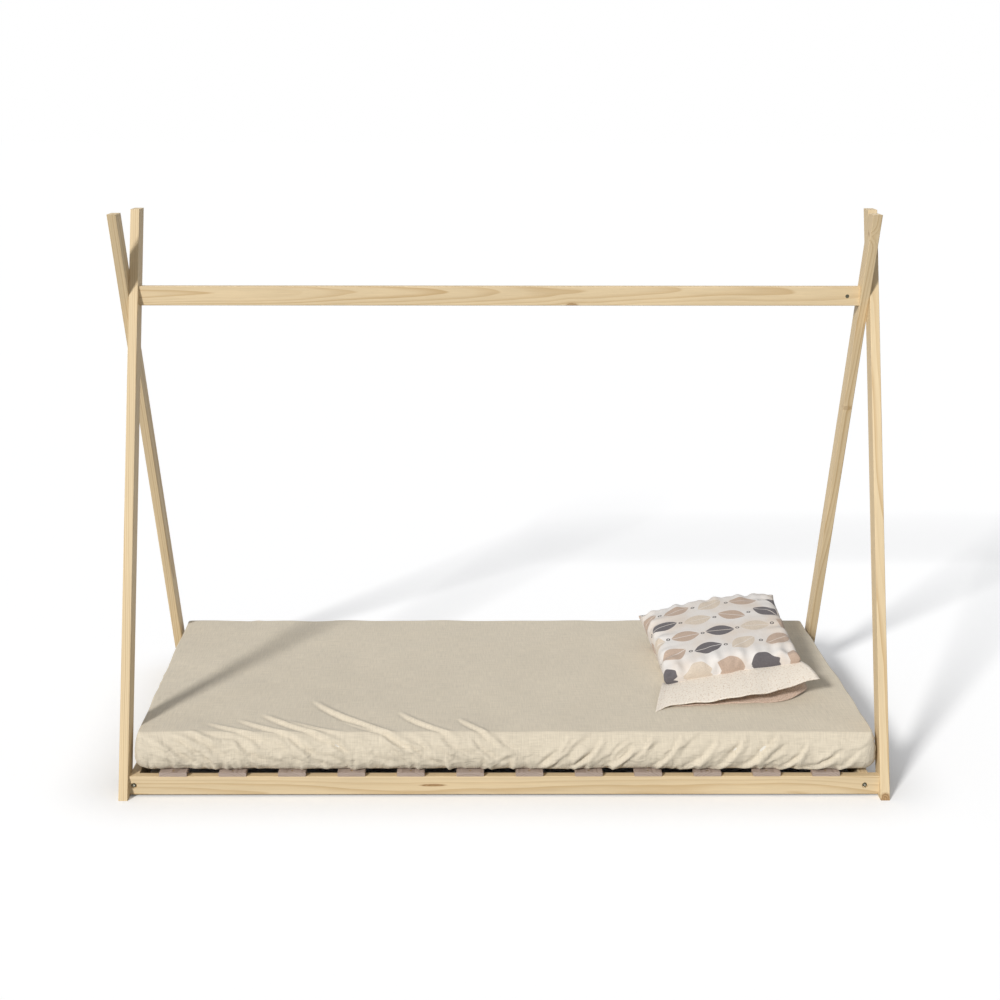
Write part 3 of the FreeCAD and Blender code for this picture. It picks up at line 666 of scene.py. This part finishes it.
outward = np.cross(np.gradient(smooth, axis=1), np.gradient(smooth, axis=0))
outward /= np.maximum(np.linalg.norm(outward, axis=-1, keepdims=True), 1e-12)

# Creases stay within limits, fade out before the hem turns under, and hardly rise at the ends, near the posts
CREASE_LEAST, CREASE_MOST, CREASE_FADE = -0.0065, 0.0085, 0.02
END_CREASE_MOST, END_CREASE_GAIN, END_CREASE_EASE = 0.0008, 0.008, 0.04
calm = 1 - np.clip((path - sheet_past + SHEET_UNDER + CREASE_FADE) / CREASE_FADE, 0.0, 1.0)
near_end = np.clip((np.abs(along) - middle_x) / END_CREASE_EASE, 0.0, 1.0)
end_limit = np.where(near_end > 0, END_CREASE_MOST + (1 - near_end) * END_CREASE_GAIN, CREASE_MOST)
raised = np.clip(np.minimum(wrinkles, end_limit), CREASE_LEAST, CREASE_MOST)
cloth = smooth + outward * (raised * calm)[..., None]
cloth[..., 2] = np.maximum(cloth[..., 2], SLAT_TOP + SHEET_LIFT)


def outside(tree, place, half_sizes):
    """How far a place lies outside a box round the origin."""
    past = vcalc(tree, "SUBTRACT", vcalc(tree, "ABSOLUTE", place), half_sizes)
    return vcalc(tree, "LENGTH", vcalc(tree, "MAXIMUM", past, (0.0, 0.0, 0.0)))


BEIGE_LINEN = (0.684, 0.616, 0.50)
LINEN_WEAVE, LINEN_PATCHES = (700.0, 0.34), (3.0, 3.0, 1.0)
LINEN_CRUMPLES, CRUMPLE_HEIGHT, CRUMPLE_EASE = (34.0, 52.0, 1.0), 0.008, (0.01, 0.045)
LINEN_RELIEF = 0.0007
linen, tree, shader, flat_place, weave = new_cloth("beige_linen", *LINEN_WEAVE)
patches = noise(tree, flat_place, LINEN_PATCHES, 3.0)
tone = calc(tree, "MULTIPLY", weave["Tone"], linear(tree, patches, 0.12, 0.94))
tree.links.new(scaled(tree, BEIGE_LINEN, tone), shader["Base Color"])
crumple = noise(tree, flat_place, LINEN_CRUMPLES, 4.0)
crumple.node.inputs["Distortion"].default_value = 0.8
over_edge = outside(tree, flat_place, (middle_x, middle_y, 0.0))
crumple_share = linear(tree, eased(tree, over_edge, *CRUMPLE_EASE), 0.85, 0.15)
crumple = calc(tree, "MULTIPLY", crumple, crumple_share)
crumples = relief(tree, crumple, 0.7, CRUMPLE_HEIGHT)
tree.links.new(relief(tree, weave["Height"], 0.55, LINEN_RELIEF, Normal=crumples), shader["Normal"])
shader["Roughness"].default_value = 0.92
shader["Sheen Weight"].default_value = 0.15
shader["Specular IOR Level"].default_value = 0.2

index = np.arange(along.size).reshape(along.shape)
flat = np.stack([along, across], axis=-1).reshape(-1, 2)
sheet = mesh_piece("linen_fitted_sheet", cloth.reshape(-1, 3), grid_quads(index), flat, linen)
hem_thickness = sheet.modifiers.new("cloth_thickness", "SOLIDIFY")
hem_thickness.thickness = SHEET_THICKNESS
hem_thickness.offset = -1.0
hem_thickness.use_rim_only = True
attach(sheet, "mattress_body")
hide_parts("fitted_sheet")


# Pillow
# A square fibre-filled pillow in a printed cotton case, sewn on three sides. It lies loose on the mattress,
# propped on its fill so that its back right corner stands highest.

PILLOW_FLAT = (0.44, 0.45)
PILLOW_PLACE = Vector((0.6212, 0.061, 0.2443))
PILLOW_TURNS = ((3.0, "Z"), (6.0, "X"), (-9.0, "Y"))
PILLOW_GAP, PRESS_BEND = 0.0006, 0.006
PILLOW_REST = SLAT_TOP + BED_THICKNESS + BED_CROWN + PILLOW_GAP
PILLOW_CELLS = 60
FIRST_SWELL = 0.02
FILL_PRESSURE, FILL_FRAMES = 2.0, 14
pillow_rows = PILLOW_CELLS + 1
across_pillow = np.linspace(-1.0, 1.0, pillow_rows)
u, v = np.meshgrid(across_pillow, across_pillow)
swell = FIRST_SWELL * np.sqrt(np.clip((1 - u ** 2) * (1 - v ** 2), 0.0, 1.0))
flat_x, flat_y = u * PILLOW_FLAT[0] / 2, v * PILLOW_FLAT[1] / 2
points, quads = paired_sheets(np.stack([flat_x, flat_y, swell], axis=-1),
                              np.stack([flat_x, flat_y, -swell], axis=-1))


def inflated(points, quads):
    """The points of a closed cloth bag after its fill has swollen it: a cloth simulation without gravity."""
    mesh = bpy.data.meshes.new("pillow_bag")
    mesh.from_pydata(points, [], quads)
    bag = put_in("pillow_bag", mesh)
    settings = bag.modifiers.new("fill", "CLOTH").settings
    settings.quality = 8
    settings.mass = 0.2
    settings.tension_stiffness = 40.0
    settings.compression_stiffness = 12.0
    settings.shear_stiffness = 10.0
    settings.bending_stiffness = 0.6
    settings.use_pressure = True
    settings.uniform_pressure_force = FILL_PRESSURE
    settings.effector_weights.gravity = 0.0
    for step in range(1, FILL_FRAMES + 1):
        scene.frame_set(step)
    shown = bag.evaluated_get(bpy.context.evaluated_depsgraph_get()).to_mesh()
    swollen = np.empty(len(shown.vertices) * 3)
    shown.vertices.foreach_get("co", swollen)
    scene.frame_set(1)
    bpy.data.objects.remove(bag)
    bpy.data.meshes.remove(mesh)
    return swollen.reshape(-1, 3)


PILLOW_CORNERS = (0.196, 0.204)
PILLOW_WAIST = (0.011, 0.009)
PILLOW_RISE, PILLOW_DEPTH, PILLOW_FULLNESS = 0.04, 0.098, 0.74
BACK_WIDER = 0.035
CURVE_DEGREE = 4
PUCKER_REACH, PUCKER_HEIGHT = 0.10, 0.0034
COARSE_PUCKERS, FINE_PUCKERS, FINE_SHARE = 21, 34, 0.8


def filled_out(points):
    """The swollen bag with its sides drawn out and its two faces brought to their heights.

    A smooth curve through each seam gives how far it was pulled in. Each point is moved sideways by the
    share that takes that curve to a side with a slight waist. The back is a little wider than the front. A
    power of the height below one makes the faces fuller towards the seams. Puckers, sums of two sines along
    each seam, rise a little inside it and fade towards the middle.
    """
    u_all = np.concatenate([u.ravel(), u[1:-1, 1:-1].ravel()])
    v_all = np.concatenate([v.ravel(), v[1:-1, 1:-1].ravel()])
    filled = points.copy()
    for axis, own, other in ((0, u_all, v_all), (1, v_all, u_all)):
        for side in (-1, 1):
            seam = own == side
            pulled = polyfit(other[seam], side * points[seam, axis], CURVE_DEGREE)
            there = own * side > 0
            bowed = PILLOW_CORNERS[axis] - PILLOW_WAIST[axis] * (1 - other[there] ** 2)
            filled[there, axis] *= bowed / polyval(other[there], pulled)
    filled[:, 0] *= 1 + BACK_WIDER * v_all
    above = np.clip(points[:, 2] / points[:, 2].max(), 0.0, 1.0) ** PILLOW_FULLNESS
    below = np.clip(points[:, 2] / points[:, 2].min(), 0.0, 1.0) ** PILLOW_FULLNESS
    filled[:, 2] = PILLOW_RISE * above - PILLOW_DEPTH * below
    for own, other, turn in ((u_all, v_all, 0.7), (v_all, u_all, 2.1)):
        inward = (1 - np.abs(own)) / PUCKER_REACH
        side = np.sign(own)
        waves = np.sin(COARSE_PUCKERS * other + 3 * side + turn)
        waves = waves + FINE_SHARE * np.sin(FINE_PUCKERS * other + 2 * turn * side)
        filled[:, 2] += PUCKER_HEIGHT * inward * np.exp(1 - inward) * waves * np.sign(points[:, 2])
    return filled


points = inflated(points, quads)
points = filled_out(points)
pillow_turn = Matrix.Identity(3)
for degrees, axis in PILLOW_TURNS:
    pillow_turn = pillow_turn @ Matrix.Rotation(math.radians(degrees), 3, axis)
laid = points @ np.array(pillow_turn).T + np.array(PILLOW_PLACE)
# A soft maximum presses the pillow flat where it meets the sheet
laid[:, 2] = PILLOW_REST + PRESS_BEND * np.logaddexp(0.0, (laid[:, 2] - PILLOW_REST) / PRESS_BEND)

# The print is rows of leaves, every other row half a pitch along, with a rib in each leaf and a ring between
# each two. The row that is bent round the front seam has neither ribs nor rings.
LEAF_PITCH = (0.098, 0.084, 1.0)
LEAF_HALF_LENGTH, LEAF_HALF_WIDTH, LEAF_TURN = 0.041, 0.028, 0.7
RING_RADIUS = 0.0042
# Where the edges of the leaves, ribs and rings start and end
LEAF_EDGE, RIB_EDGE, RING_EDGE = (-0.0004, 0.0004), (0.0014, 0.0008), (0.0016, 0.0011)
# A leaf's colour steps on from cell to cell. An even number added to the counts keeps them above 0.
COLOUR_STEP, FIRST_COLOUR, EVEN_SHIFT = (0.37, 0.62, 0.0), 0.05, 20.0
CHALK_GRAIN, GROUND_PATCHES = (260.0, 260.0, 1.0), (9.0, 9.0, 1.0)
PLAIN_FRONT = (-0.18, -0.172)
LEAF_COLOURS = ((0.0, (0.48, 0.37, 0.30)), (0.30, (0.135, 0.125, 0.135)), (0.62, (0.62, 0.54, 0.455)),
                (0.86, (0.48, 0.37, 0.30)))
PALE_GROUND, WARM_GROUND = (0.715, 0.695, 0.685, 1.0), (0.68, 0.61, 0.55, 1.0)
RING_COLOUR = (0.035, 0.033, 0.035, 1.0)
COTTON_THREADS, COTTON_FINISH = 1100.0, (0.0004, 0.88, 0.12)
case, tree, shader, flat_place, weave = new_cloth("printed_cotton", COTTON_THREADS, 0.12)
cells = vcalc(tree, "DIVIDE", flat_place, LEAF_PITCH)
row = calc(tree, "FLOOR", parts(tree, cells)["Y"])
half_drop = calc(tree, "MULTIPLY", calc(tree, "MODULO", calc(tree, "ADD", row, EVEN_SHIFT), 2.0), 0.5)
cells = vcalc(tree, "ADD", cells, add_node(tree, "ShaderNodeCombineXYZ", {"X": half_drop}).outputs[0])
cell = vcalc(tree, "FLOOR", cells)
draw = add_node(tree, "ShaderNodeTexWhiteNoise", {"Vector": cell}, noise_dimensions="2D")
leaf_turn = linear(tree, draw.outputs["Value"], 2 * LEAF_TURN, -LEAF_TURN)


def in_cell(tree, cells):
    """A place's distances from the middle of its cell."""
    share = vcalc(tree, "SUBTRACT", vcalc(tree, "FRACTION", cells), (0.5, 0.5, 0.0))
    return vcalc(tree, "MULTIPLY", share, LEAF_PITCH)


inside = add_node(tree, "ShaderNodeVectorRotate", {"Vector": in_cell(tree, cells), "Angle": leaf_turn},
                  rotation_type="Z_AXIS").outputs["Vector"]
leaf = parts(tree, inside)
leaf_share = calc(tree, "DIVIDE", leaf["X"], LEAF_HALF_LENGTH)
leaf_aside = calc(tree, "ABSOLUTE", leaf["Y"])
leaf_edge = linear(tree, calc(tree, "MULTIPLY", leaf_share, leaf_share), -LEAF_HALF_WIDTH, LEAF_HALF_WIDTH)
leaf_mask = eased(tree, calc(tree, "SUBTRACT", leaf_edge, leaf_aside), *LEAF_EDGE)
past_front = eased(tree, parts(tree, flat_place)["Y"], *PLAIN_FRONT)
rib_mask = calc(tree, "MULTIPLY", eased(tree, leaf_aside, *RIB_EDGE),
                calc(tree, "MULTIPLY", leaf_mask, past_front))
leaf_colour = add_node(tree, "ShaderNodeVectorMath", {0: cell, 1: COLOUR_STEP},
                       operation="DOT_PRODUCT").outputs["Value"]
leaf_colour = calc(tree, "FRACT", calc(tree, "ADD", leaf_colour, EVEN_SHIFT + FIRST_COLOUR))
leaf_ramp = tone_ramp(tree, leaf_colour, LEAF_COLOURS)
leaf_ramp.node.color_ramp.interpolation = "CONSTANT"
chalk = noise(tree, flat_place, CHALK_GRAIN, 3.0)
leaf_tone = scaled(tree, leaf_ramp, linear(tree, chalk, 0.5, 0.75))
ground_patch = noise(tree, flat_place, GROUND_PATCHES, 3.0)
ground = blended(tree, eased(tree, ground_patch, 0.35, 0.70), PALE_GROUND, WARM_GROUND)
printed = blended(tree, leaf_mask, ground, leaf_tone)
printed = blended(tree, rib_mask, printed, ground)
between = in_cell(tree, vcalc(tree, "ADD", cells, (0.5, 0.0, 0.0)))
ring = calc(tree, "ABSOLUTE", calc(tree, "SUBTRACT", vcalc(tree, "LENGTH", between), RING_RADIUS))
ring_mask = calc(tree, "MULTIPLY", eased(tree, ring, *RING_EDGE), past_front)
printed = blended(tree, ring_mask, printed, RING_COLOUR)
finish_cloth(tree, shader, printed, weave, *COTTON_FINISH)
shader["Specular IOR Level"].default_value = 0.2


def cloth_lengths(face):
    """Each point's lengths of cloth, across and along, from the middle lines of a face of the pillow."""
    middle = PILLOW_CELLS // 2
    across_steps = np.linalg.norm(np.diff(face, axis=1), axis=-1)
    along_steps = np.linalg.norm(np.diff(face, axis=0), axis=-1)
    lengths_x = np.concatenate([np.zeros((pillow_rows, 1)), np.cumsum(across_steps, axis=1)], axis=1)
    lengths_y = np.concatenate([np.zeros((1, pillow_rows)), np.cumsum(along_steps, axis=0)], axis=0)
    lengths_x -= lengths_x[:, middle:middle + 1].copy()
    lengths_y -= lengths_y[middle:middle + 1].copy()
    return np.stack([lengths_x, lengths_y], axis=-1)


# The lower face's lengths are counted so that they meet the upper face's at the front seam
upper = points[:pillow_rows ** 2].reshape(pillow_rows, pillow_rows, 3)
lower = upper.copy()
lower[1:-1, 1:-1] = points[pillow_rows ** 2:].reshape(pillow_rows - 2, pillow_rows - 2, 3)
upper_flat, lower_flat = cloth_lengths(upper), cloth_lengths(lower)
lower_flat[..., 1] += upper_flat[0, :, 1] - lower_flat[0, :, 1]
flat = np.concatenate([upper_flat.reshape(-1, 2), lower_flat[1:-1, 1:-1].reshape(-1, 2)])
pillow = mesh_piece("printed_pillow", laid, quads, flat, case)
finer = pillow.modifiers.new("finer_cloth", "SUBSURF")
finer.levels = finer.render_levels = 1
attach(pillow, "pillow_body")
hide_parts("pillow")


# Mouth of the pillow case
# The case's open end, two layers of cotton that keep the case's full width and hang past the front seam. The
# upper one is cream and droops to the sheet at its left end. The rose-beige lower one lies on the sheet.

MOUTH_FLAT = (0.125, 0.452)
MOUTH_OVERLAP = Vector((0.0, 0.02, -0.013))
MOUTH_THICKNESS, MOUTH_GAP, MOUTH_ROWS = 0.0012, 0.0008, 25
# Each layer's free edge, as points at shares of its width, then its drop at the seam, arch and ripple
UPPER_EDGE = [(-1.0, 0.409, -0.295, 0.1662), (-0.75, 0.455, -0.265, 0.1690), (-0.5, 0.509, -0.263, 0.1760),
              (0.0, 0.623, -0.261, 0.1910), (0.5, 0.734, -0.24, 0.2030), (1.0, 0.855, -0.209, 0.2230)]
LOWER_EDGE = [(-1.0, 0.425, -0.249, 0.1660), (-0.5, 0.52, -0.253, 0.1660), (0.0, 0.639, -0.241, 0.1660),
              (0.5, 0.739, -0.227, 0.1665), (0.8, 0.795, -0.199, 0.1670), (1.0, 0.835, -0.151, 0.1710)]
UPPER_FALL, LOWER_FALL = (0.0, 0.006, 0.0022), (0.006, -0.004, 0.0010)
COARSE_RIPPLES, FINE_RIPPLES, FINE_RIPPLE_SHARE = 8.0, 19.0, 0.6
s, d = np.meshgrid(across_pillow, np.linspace(0.0, 1.0, MOUTH_ROWS))


def mouth_layer(edge, root_drop, arch, ripple):
    """One layer of the mouth: parabolas from under the seam to the layer's free edge, arched above the chord.

    The edge is a smooth curve through its given points. Ripples across the layer grow towards the edge.
    """
    places, *edge_axes = np.transpose(edge)
    curves = [polyfit(places, axis, CURVE_DEGREE) for axis in edge_axes]
    free = np.stack([polyval(across_pillow, curve) for curve in curves], axis=-1)
    root = laid[:pillow_rows] + np.array(MOUTH_OVERLAP) - (0.0, 0.0, root_drop)
    layer = root[None] * (1 - d)[..., None] + free[None] * d[..., None]
    layer[..., 2] += arch * 4 * d * (1 - d)
    ripples = np.sin(COARSE_RIPPLES * s + 1.0) + FINE_RIPPLE_SHARE * np.sin(FINE_RIPPLES * s + 4.0 * d)
    layer[..., 2] += ripple * d * ripples
    layer[..., 2] = np.maximum(layer[..., 2], PILLOW_REST + MOUTH_GAP)
    return layer


CREAM, CREAM_FLECK = (0.80, 0.74, 0.66, 1.0), (0.62, 0.51, 0.41, 1.0)
ROSE, ROSE_FLECK = (0.66, 0.52, 0.43, 1.0), (0.52, 0.385, 0.30, 1.0)
COTTON_FLECKS, FLECK_EASE = (190.0, 190.0, 1.0), 0.22


def speckled_cotton(name, light, dark, share):
    """Cotton printed all over with small flecks of a darker tone."""
    material, tree, shader, flat_place, weave = new_cloth(name, COTTON_THREADS, 0.2)
    speckle = noise(tree, flat_place, COTTON_FLECKS, 4.0)
    cotton = blended(tree, eased(tree, speckle, share, share + FLECK_EASE), light, dark)
    finish_cloth(tree, shader, cotton, weave, *COTTON_FINISH)
    return material


cream_cotton = speckled_cotton("cream_cotton", CREAM, CREAM_FLECK, 0.50)
rose_cotton = speckled_cotton("rose_cotton", ROSE, ROSE_FLECK, 0.42)
index = np.arange(s.size).reshape(s.shape)
flat = np.stack([s * MOUTH_FLAT[1] / 2, -d * MOUTH_FLAT[0]], axis=-1).reshape(-1, 2)
for layer, cotton, places in (
        ("upper", cream_cotton, mouth_layer(UPPER_EDGE, *UPPER_FALL)),
        ("lower", rose_cotton, mouth_layer(LOWER_EDGE, *LOWER_FALL))):
    mouth = mesh_piece(f"case_mouth_{layer}", places.reshape(-1, 3), grid_quads(index)[:, ::-1], flat, cotton)
    thickness = mouth.modifiers.new("cloth_thickness", "SOLIDIFY")
    thickness.thickness = MOUTH_THICKNESS
    thickness.offset = 0.0
    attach(mouth, "pillow_body")
    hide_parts("pillow")


# Floor, light and camera
# A plain pale floor that keeps the shadow, a white surround, one large soft lamp from the left front, and a
# camera that looks slightly down on the front of the bed.

FLOOR_HALF = 40.0
FLOOR_LIGHTS, FLOOR_SHOWS = (0.30, 0.30, 0.29, 1.0), (0.945, 0.96, 0.99, 1.0)
BESIDE_BED, BESIDE_EASE, FLOOR_GLOW = (0.90, 0.36, 0.0), (0.02, 0.30), 0.20
SKY_LIGHT = 0.41
LAMP_ANGLE, LAMP_STRENGTH, LAMP_COLOUR = math.radians(9.0), 2.80, (1.0, 0.975, 0.93)
LAMP_SHINES = (0.475, 0.73, -0.491)
CAMERA_PLACE = (-0.0153, -4.0279, 1.7674)
CAMERA_PITCH, CAMERA_YAW, CAMERA_ROLL = 0.2682, 0.0042, 0.0011
SENSOR_WIDTH, LENS = 36.0, 55.27
floor_mesh = bpy.data.meshes.new("floor")
floor_mesh.from_pydata([(-FLOOR_HALF, -FLOOR_HALF, 0.0), (FLOOR_HALF, -FLOOR_HALF, 0.0),
                        (FLOOR_HALF, FLOOR_HALF, 0.0), (-FLOOR_HALF, FLOOR_HALF, 0.0)], [], [(0, 1, 2, 3)])
floor = put_in("floor", floor_mesh)


def seen_directly(tree):
    """1 for a ray that shows a surface, straight or in a gloss or glass, and 0 for one that lights."""
    rays = add_node(tree, "ShaderNodeLightPath").outputs
    shown = calc(tree, "ADD", rays["Is Glossy Ray"], rays["Is Transmission Ray"])
    return calc(tree, "ADD", rays["Is Camera Ray"], shown, clamp=True)


# The floor looks white, throws back less light than it shows, and is brightened a little beside the bed
pale, tree, shader = new_finish("pale_floor")
seen = seen_directly(tree)
floor_tone = blended(tree, seen, FLOOR_LIGHTS, FLOOR_SHOWS)
beside = outside(tree, add_node(tree, "ShaderNodeTexCoord").outputs["Object"], BESIDE_BED)
beside = eased(tree, beside, *BESIDE_EASE)
glow = calc(tree, "MULTIPLY", calc(tree, "MULTIPLY", seen, beside), FLOOR_GLOW)
tree.links.new(floor_tone, shader["Base Color"])
shader["Roughness"].default_value = 1.0
shader["Specular IOR Level"].default_value = 0.0
shader["Emission Color"].default_value = (1.0, 1.0, 1.0, 1.0)
tree.links.new(glow, shader["Emission Strength"])
floor_mesh.materials.append(pale)

world = bpy.data.worlds.new("white_surround")
scene.world = world
world.use_nodes = True
tree = world.node_tree
tree.nodes["Background"].inputs["Color"].default_value = (1.0, 1.0, 1.0, 1.0)
tree.links.new(linear(tree, seen_directly(tree), 1.0 - SKY_LIGHT, SKY_LIGHT),
               tree.nodes["Background"].inputs["Strength"])

lamp_data = bpy.data.lights.new("soft_key", "SUN")
lamp_data.angle = LAMP_ANGLE
lamp_data.energy = LAMP_STRENGTH
lamp_data.color = LAMP_COLOUR
lamp = put_in("soft_key", lamp_data)
lamp.rotation_euler = Vector(LAMP_SHINES).to_track_quat("-Z", "Y").to_euler()

ahead = Vector((math.sin(CAMERA_YAW) * math.cos(CAMERA_PITCH), math.cos(CAMERA_YAW) * math.cos(CAMERA_PITCH),
                -math.sin(CAMERA_PITCH)))
right = Vector((math.cos(CAMERA_YAW), -math.sin(CAMERA_YAW), 0.0))
above = right.cross(ahead)
right, above = (right * math.cos(CAMERA_ROLL) + above * math.sin(CAMERA_ROLL),
                above * math.cos(CAMERA_ROLL) - right * math.sin(CAMERA_ROLL))
camera_data = bpy.data.cameras.new("front_camera")
camera_data.sensor_width = SENSOR_WIDTH
camera_data.lens = LENS
camera = put_in("front_camera", camera_data)
camera_turn = Matrix((right, above, -ahead)).transposed().to_4x4()
camera.matrix_world = Matrix.Translation(CAMERA_PLACE) @ camera_turn
scene.camera = camera
scene.view_settings.view_transform = "Standard"
